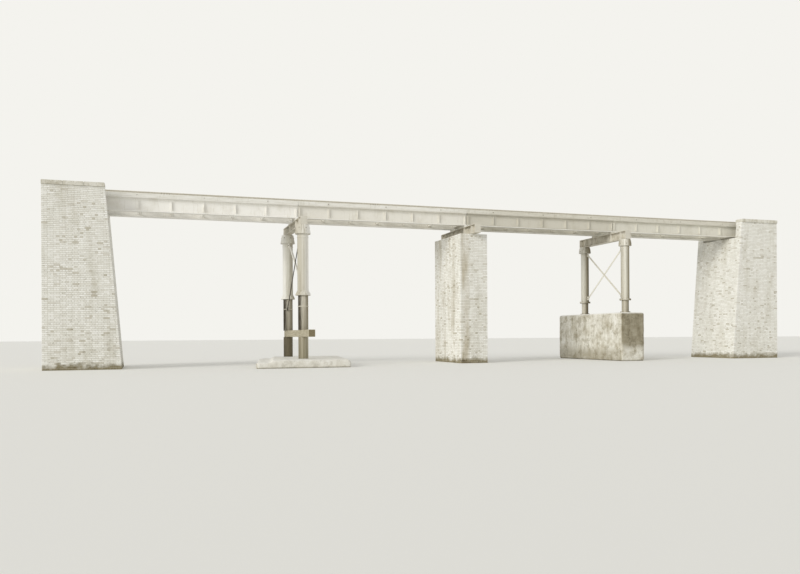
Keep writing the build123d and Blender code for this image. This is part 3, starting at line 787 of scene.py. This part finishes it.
# Left bent: the beads are paler. The near upper column has painted shade on its left and painted
# light on its right, and the far one the other way round.
at_bead = add_node(tree, "ShaderNodeMath", {"operation": "COMPARE", 1: bead_level, 2: bead_half},
                   {0: level.outputs["Z"]})
on_bead = add_node(tree, "ShaderNodeMath", {"operation": "MULTIPLY"}, {0: at_bead, 1: left_lower})
bead_paled = stained(tree, near_left_edge_darker, on_bead, 0.0, 1.0, 0.65, "#CFCABA", "MIX")
column_side = add_node(tree, "ShaderNodeMath", {"operation": "SIGN"}, {0: level.outputs["Y"]})
turned_away = add_node(tree, "ShaderNodeMath", {"operation": "MULTIPLY"},
                       {0: column_side, 1: skin_turned.outputs["X"]})
upper_turned = add_node(tree, "ShaderNodeMath", {"operation": "MULTIPLY"}, {0: turned_away, 1: left_upper})
upper_painted_shade = stained(tree, bead_paled, upper_turned, 0.1, 0.6, 0.5, "#B0A893")
upper_painted_light = stained(tree, upper_painted_shade, upper_turned, -0.2, -0.7, 0.8, "#F8F6F0", "MIX")
casting_sand = add_node(tree, "ShaderNodeTexNoise", {"Scale": cells(8.33), "Detail": 3.0}, {"Vector": place})
finish_material(tree, upper_painted_light, 0.65, casting_sand, 0.002)

for node_name in ("left_column_near_upper", "left_column_far_upper", "right_column_near_upper",
                  "right_column_far_upper", "left_lower_columns", "right_lower_columns", "left_legs"):
    eased(node_name, f"{node_name}_casting", casting_arris, column_paint)

# Braces: an angle and a tie rod on the left bent, two flats on the right one. The rod, with an
# eye at each end, was tarred; the angle and the flats are painted like the girders.
bar_arris = 0.003
rod_side = -8.14  # the rod lies left of this plane and the angle right of it

# Coal tar, brushed on hot: near black, dull with age and brown where it is thin. Brush marks of 1 mm
# would not show, so they are drawn at 25 mm.
tarred_iron, tree, place = new_material("coal_tarred_wrought_iron")
tar_brush = streaks(tree, place, 25, 500, 4.0)
tar_tone = add_node(tree, "ShaderNodeValToRGB", {}, {"Fac": tar_brush})
set_ramp(tar_tone, [(0.4, "#2B261C"), (0.55, "#383226"), (0.7, "#4F4735")])
finish_material(tree, tar_tone, 0.55, tar_brush, 0.002)

left_bars = eased("left_braces", "left_brace_bars", bar_arris, oil_paint)
left_bars.data.materials.append(tarred_iron)
for face in left_bars.data.polygons:
    if face.center.x < rod_side:
        face.material_index = 1
eased("right_braces", "right_brace_bars", bar_arris, oil_paint)

# Bolts and nuts: forged hexagons with a bolt end that shows. Their paint has gone first, so
# they are darker than the iron around them.
square_to_axis = 0.99  # past this cosine a face is a nut's flat end and not its chamfer
nut_chamfer = 0.15  # share of the thickness
bolt_ring = 0.20  # share of the width, between the flats and the bolt
bolt_end = 0.35  # share of the thickness
bent_x = span_length
column_y = 1.830

# Wrought iron with its paint gone: dull brown scale and rust in patches of 30 mm
bare_iron, tree, place = new_material("weathered_wrought_iron")
scale_marks = add_node(tree, "ShaderNodeTexNoise", {"Scale": cells(33.3), "Detail": 6.0}, {"Vector": place})
iron_tone = add_node(tree, "ShaderNodeValToRGB", {}, {"Fac": scale_marks})
set_ramp(iron_tone, [(0.35, "#5E5543"), (0.5, "#70674F"), (0.65, "#857C66")])
finish_material(tree, iron_tone, 0.8, scale_marks, 0.002)


def nut(out, place, across_flats, thickness):
    """A hexagon nut with its faces chamfered and the bolt's end standing out of it."""
    bpy.ops.mesh.primitive_cylinder_add(vertices=6, radius=across_flats / math.sqrt(3), depth=thickness,
                                        location=(0, 0, thickness / 2))
    hexagon = bpy.context.object
    edit(hexagon)
    pick_faces(hexagon, looks_up)
    bpy.ops.mesh.bevel(offset=thickness * nut_chamfer, segments=1, affect="EDGES")
    pick_faces(hexagon, lambda face: face.normal.z > square_to_axis)
    bpy.ops.mesh.inset(thickness=across_flats * bolt_ring)
    bpy.ops.mesh.extrude_region_move(TRANSFORM_OT_translate={"value": (0, 0, thickness * bolt_end)})
    leave_edit()
    coat(hexagon, bare_iron)
    return turned_to(hexagon, out, place)


def ring_of_nuts(centre, radius, count, first_angle, radial, up, across_flats, thickness):
    """Nuts round an axis, standing up from a flange or out of a capital."""
    made = []
    for index in range(count):
        angle = math.radians(first_angle + index * 360 / count)
        spoke = Vector((math.cos(angle), math.sin(angle), 0))
        out = spoke if radial else Vector((0, 0, up))
        made.append(nut(out, centre + spoke * radius, across_flats, thickness))
    return made


# Bolts that hold the frames to the stems of the stiffeners, two at each and a nut on either side.
# A nut's size is its width across the flats and its thickness.
fasteners = []
frame_nut_size = (0.032, 0.016)
frame_levels = (6.671, 6.939)
stem_bolt_y = 0.694
stem_left = -0.006
stem_right = 0.018
first_stiffener_x = girder_low.x + stiffener_inset
for side in (-1, 1):
    for level_z in frame_levels:
        for out_x, face_x in ((1, stem_right), (-1, stem_left)):
            bolt_place = Vector((first_stiffener_x + face_x, side * stem_bolt_y, level_z))
            frame_nut = nut(Vector((out_x, 0, 0)), bolt_place, *frame_nut_size)
            fasteners.append(repeat(frame_nut, (stiffeners, Vector((stiffener_pitch, 0, 0))),
                                    (spans, Vector((span_length, 0, 0)))))

# Four anchors at each end of a crosshead, on its bottom flange: (crosshead, flange's top)
anchor_size = (0.046, 0.024)
anchor_x = 0.095
anchor_y = 0.100
for support_x, flange_z in ((-bent_x, 6.103), (0.0, 6.038), (bent_x, 6.038)):
    for side in (-1, 1):
        corner = Vector((support_x - anchor_x, side * column_y - anchor_y, flange_z))
        anchor = nut(Vector((0, 0, 1)), corner, *anchor_size)
        fasteners.append(repeat(anchor, (2, Vector((2 * anchor_x, 0, 0))),
                                (2, Vector((0, 2 * anchor_y, 0)))))

# Rings of nuts: (bent, level, radius, count, first angle, radial, up or down, width, thickness)
nut_rings = [(bent_x, 3.070, 0.245, 8, 22.5, False, 1, 0.036, 0.020),
             (bent_x, 2.998, 0.245, 8, 22.5, False, -1, 0.036, 0.020),
             (bent_x, 2.422, 0.212, 8, 22.5, False, 1, 0.040, 0.022),
             (bent_x, 5.800, 0.304, 6, 10, True, 1, 0.036, 0.018),
             (-bent_x, 5.945, 0.291, 6, -12, True, 1, 0.040, 0.018)]
for side in (-1, 1):
    for ring_x, ring_z, *ring in nut_rings:
        fasteners += ring_of_nuts(Vector((ring_x, side * column_y, ring_z)), *ring)

# Pins through the brace lugs: (left nut's seat, right nut's seat, side, level)
pin_nut_size = (0.050, 0.026)
brace_pins = [(-8.200, -8.138, -1.497, 5.574), (-8.200, -8.138, 1.497, 2.573),
              (-8.111, -8.077, 1.497, 5.574), (-8.111, -8.077, -1.497, 3.420),
              (8.071, 8.111, -1.529, 3.250), (8.071, 8.111, 1.529, 5.584),
              (8.089, 8.129, -1.529, 5.584), (8.089, 8.129, 1.529, 3.250)]
for left_seat, right_seat, pin_y, pin_z in brace_pins:
    fasteners.append(nut(Vector((-1, 0, 0)), Vector((left_seat, pin_y, pin_z)), *pin_nut_size))
    fasteners.append(nut(Vector((1, 0, 0)), Vector((right_seat, pin_y, pin_z)), *pin_nut_size))
nuts = join(fasteners, "bolts_and_nuts")
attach(nuts, "root")

# Track timbers, transoms and the sill beam: hardwood baulks, sawn and adzed, bleached by the
# sun, with drying checks along the grain. Tie bolts hold each pair of timbers to its transoms.
baulk_arris = 0.008
sill_arris = 0.012
dimming_from = -1.0
dimming_to = 2.0
along_grain = cells(505)
across_grain = cells(28.4)


def hardwood(name, grain, stops):
    """A wood whose fibres run along its grain, as material, tree, place, fibres and tone."""
    material, tree, place = new_material(name)
    run = add_node(tree, "ShaderNodeMapping", {"Scale": grain}, {"Vector": place})
    fibres = add_node(tree, "ShaderNodeTexNoise", {"Scale": 1.0, "Detail": 9.0, "Roughness": 0.7},
                      {"Vector": run})
    tone = add_node(tree, "ShaderNodeValToRGB", {}, {"Fac": fibres})
    set_ramp(tone, stops)
    return material, tree, place, fibres, tone


# Bleached hardwood: silvery and dull, with checks half a metre long. Real ones are 2 to 5 mm wide
# and would not show, so they are drawn at 28 mm. Wet runs on the sides are 140 mm wide, and the
# lengths right of the pier are painted greyer, a painted light that falls off to the right.
grey_baulk, tree, place, fibres, wood_tone = hardwood(
    "bleached_hardwood_baulk", (along_grain, across_grain, across_grain),
    [(0.3, "#CECABD"), (0.45, "#E3E1D8"), (0.6, "#EDEBE5"), (0.75, "#F2F1EC")])
wet_runs = stained(tree, wood_tone, streaks(tree, place, 143, 350, 4.0), 0.55, 0.75, 0.4, "#C2BCAB")
baulk_place = add_node(tree, "ShaderNodeSeparateXYZ", {}, {"Vector": place})
# Painted light: the timbers dim from left to right along the track
right_lengths_dimmed = stained(tree, wet_runs, baulk_place.outputs["X"], dimming_from, dimming_to, 0.7, "#DFDCD2")
finish_material(tree, right_lengths_dimmed, 0.85, fibres, 0.006)

# The same wood within reach of floods: browner, with mud in the grain, and painted shade on the near end
# face
sill_wood, tree, place, sill_fibres, sill_tone = hardwood(
    "river_stained_hardwood", (across_grain, along_grain, across_grain),
    [(0.32, "#857C63"), (0.48, "#A59D86"), (0.65, "#BDB6A2")])
sill_turned = facing(tree)
# Painted shade: the near end face is darkened
near_end_shade = stained(tree, sill_tone, sill_turned.outputs["Y"], -0.7, -0.95, 0.9, "#B3AA92")
finish_material(tree, near_end_shade, 0.88, sill_fibres, 0.006)

for side in ("near", "far"):
    eased(f"timbers_{side}", f"{side}_track_baulks", baulk_arris, grey_baulk)
eased("transoms", "transom_baulks", baulk_arris, grey_baulk)
eased("left_sill_beam", "sill_baulk", sill_arris, sill_wood)

tie_plates = []
ties_in_span = 3
tie_level = 7.185
timber_face = 0.901
washer_half = 0.035
washer_thickness = 0.006
washer_arris = 0.002
tie_nut_size = (0.036, 0.018)
for side in (-1, 1):
    first_tie = Vector((-bridge_end + span_length / ties_in_span / 2, side * timber_face, tie_level))
    corner = Vector((washer_half, 0.0, washer_half))
    thick = Vector((0, side * washer_thickness, 0))
    washer = box_between(Vector(map(min, first_tie - corner, first_tie - corner + thick)),
                         Vector(map(max, first_tie + corner, first_tie + corner + thick)))
    bevel(washer, washer_arris)
    coat(washer, oil_paint)
    tie_nut = nut(Vector((0, side, 0)), first_tie + thick, *tie_nut_size)
    tie_plates.append(repeat(join([washer, tie_nut], "tie_bolt"),
                             (ties_in_span * spans, Vector((span_length / ties_in_span, 0, 0)))))
tie_bolts = join(tie_plates, "timber_tie_bolts")
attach(tie_bolts, "root")

# Rails: rolled steel, rusted and then dulled by pale dust, held down by dog spikes and joined
# end to end by fishplates with four bolts
rail_arris = 0.003
rail_length = 9.144

# Rust under pale dust: matt, with patches of 55 mm where the rust comes through a little
rusted_rail, tree, place = new_material("rusted_rail_steel")
dust = add_node(tree, "ShaderNodeTexNoise", {"Scale": cells(55.6), "Detail": 6.0}, {"Vector": place})
dust_tone = add_node(tree, "ShaderNodeValToRGB", {}, {"Fac": dust})
set_ramp(dust_tone, [(0.3, "#C4BDAD"), (0.6, "#D6D2C5"), (0.8, "#E2DFD6")])
finish_material(tree, dust_tone, 0.7, dust, 0.002)

for side in ("near", "far"):
    eased(f"rail_{side}", f"{side}_rail_bar", rail_arris, rusted_rail)

# Spikes grip both edges of the foot, and a pair of fishplates bridges each joint of a rail
rail_low, rail_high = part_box("rail_near")
rail_y = (rail_low.y + rail_high.y) / 2
foot_half = 0.046
foot_thickness = 0.012
foot_top = rail_low.z + foot_thickness
spike_pitch = 0.75
spike_inset = 0.2
spike_spare = 0.3
spike_count = int((rail_high.x - rail_low.x - spike_spare) / spike_pitch) + 1
spike_gap = 0.004
spike_half = Vector((0.014, 0.016, 0))
spike_head = 0.018
spike_arris = 0.006
first_joint_x = -1.5 * rail_length
rail_joints = 4
plate_out = 0.013
plate_half = Vector((0.225, 0.007, 0))
plate_foot = 0.003
plate_head = 0.050
fishplate_arris = 0.003
plate_nut_place = Vector((-0.165, 0.020, 0.026))
plate_nut_size = (0.030, 0.012)
plate_nut_pitch = 0.11
plate_nuts = 4
both_rails = (2, Vector((0, track_width, 0)))
small_parts = []
for face in (-1, 1):
    spike_foot = Vector((rail_low.x + spike_inset, rail_y + face * (foot_half + spike_gap), rail_low.z))
    spike_top = Vector((spike_foot.x, spike_foot.y, foot_top + spike_head))
    spike = box_between(spike_foot - spike_half, spike_top + spike_half)
    bevel(spike, spike_arris, looks_up)
    coat(spike, rusted_rail)
    small_parts.append(repeat(spike, (spike_count, Vector((spike_pitch, 0, 0))), both_rails))
    plate_y = rail_y + face * plate_out
    plate = box_between(Vector((first_joint_x, plate_y, foot_top + plate_foot)) - plate_half,
                        Vector((first_joint_x, plate_y, foot_top + plate_head)) + plate_half)
    bevel(plate, fishplate_arris)
    coat(plate, rusted_rail)
    nut_place = Vector((first_joint_x + plate_nut_place.x, rail_y + face * plate_nut_place.y,
                        foot_top + plate_nut_place.z))
    plate_nut = nut(Vector((0, face, 0)), nut_place, *plate_nut_size)
    joint = join([plate, repeat(plate_nut, (plate_nuts, Vector((plate_nut_pitch, 0, 0))))], "fishplate")
    small_parts.append(repeat(joint, (rail_joints, Vector((rail_length, 0, 0))), both_rails))
rail_fixings = join(small_parts, "rail_fixings")
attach(rail_fixings, "root")

# Studio: a pale floor at the water level, a low soft sun from the left and a plain pale sky that
# fills the shade. The floor is plain card and the backdrop is what the camera and gloss see.
floor_size = 600
floor_drop = 0.002  # keeps the floor clear of the masonry's undersides
sky_fill = 0.68
sun_strength = 1.8
sun_spread = math.radians(26)
sun_travel = Vector((0.83, 0.43, -0.35))

# Pale card: matt and even, so that only shadows mark it
floor_material, tree, place = new_material("plain_floor")
floor_surface = add_node(tree, "ShaderNodeBsdfPrincipled",
                         {"Base Color": linear("#ECEBE6"), "Roughness": 0.9}, {})
add_node(tree, "ShaderNodeOutputMaterial", {}, {"Surface": floor_surface})
bpy.ops.mesh.primitive_plane_add(size=floor_size, location=(0, 0, -floor_drop))
floor = bpy.context.object
floor.name = "floor"
floor.data.materials.append(floor_material)

world = bpy.data.worlds.new("soft_sky")
bpy.context.scene.world = world
world.use_nodes = True
tree = world.node_tree
tree.nodes.clear()
ray = add_node(tree, "ShaderNodeLightPath", {}, {})
seen_or_glossy = add_node(tree, "ShaderNodeMath", {"operation": "MAXIMUM"},
                          {0: ray.outputs["Is Camera Ray"], 1: ray.outputs["Is Glossy Ray"]})
backdrop_ray = add_node(tree, "ShaderNodeMath", {"operation": "MAXIMUM"},
                        {0: seen_or_glossy, 1: ray.outputs["Is Transmission Ray"]})
fill = add_node(tree, "ShaderNodeBackground", {"Color": linear("#FAFAF8"), "Strength": sky_fill}, {})
backdrop = add_node(tree, "ShaderNodeBackground", {"Color": linear("#F4F3EE"), "Strength": 1.0}, {})
sky = add_node(tree, "ShaderNodeMixShader", {}, {0: backdrop_ray, 1: fill, 2: backdrop})
add_node(tree, "ShaderNodeOutputWorld", {}, {"Surface": sky})

sun_data = bpy.data.lights.new("sun", "SUN")
sun_data.energy = sun_strength
sun_data.angle = sun_spread
sun_data.color = linear("#FFFEFB")[:3]
sun = bpy.data.objects.new("sun", sun_data)
bpy.context.scene.collection.objects.link(sun)
sun.rotation_euler = sun_travel.to_track_quat("-Z", "Y").to_euler()

# Camera: level, on the near bank, at the photograph's viewing angle. The horizon lies below the
# middle of the frame, which the lens shift gives, and the frame is rolled very slightly.
camera_place = Vector((-14.598, -34.440, 1.274))
camera_yaw = -0.3221
camera_roll = 0.0056
focal_pixels = 766.7
image_width = 800
horizon_below_middle = 49.1
sensor_width = 36.0
farthest_seen = 1000
camera_data = bpy.data.cameras.new("camera")
camera_data.sensor_width = sensor_width
camera_data.lens = focal_pixels / image_width * sensor_width
camera_data.shift_y = horizon_below_middle / image_width
camera_data.clip_end = farthest_seen
camera = bpy.data.objects.new("camera", camera_data)
camera.location = camera_place
camera.rotation_euler = (math.pi / 2, camera_roll, camera_yaw)
bpy.context.scene.collection.objects.link(camera)
bpy.context.scene.camera = camera
bpy.context.scene.view_settings.view_transform = "Standard"
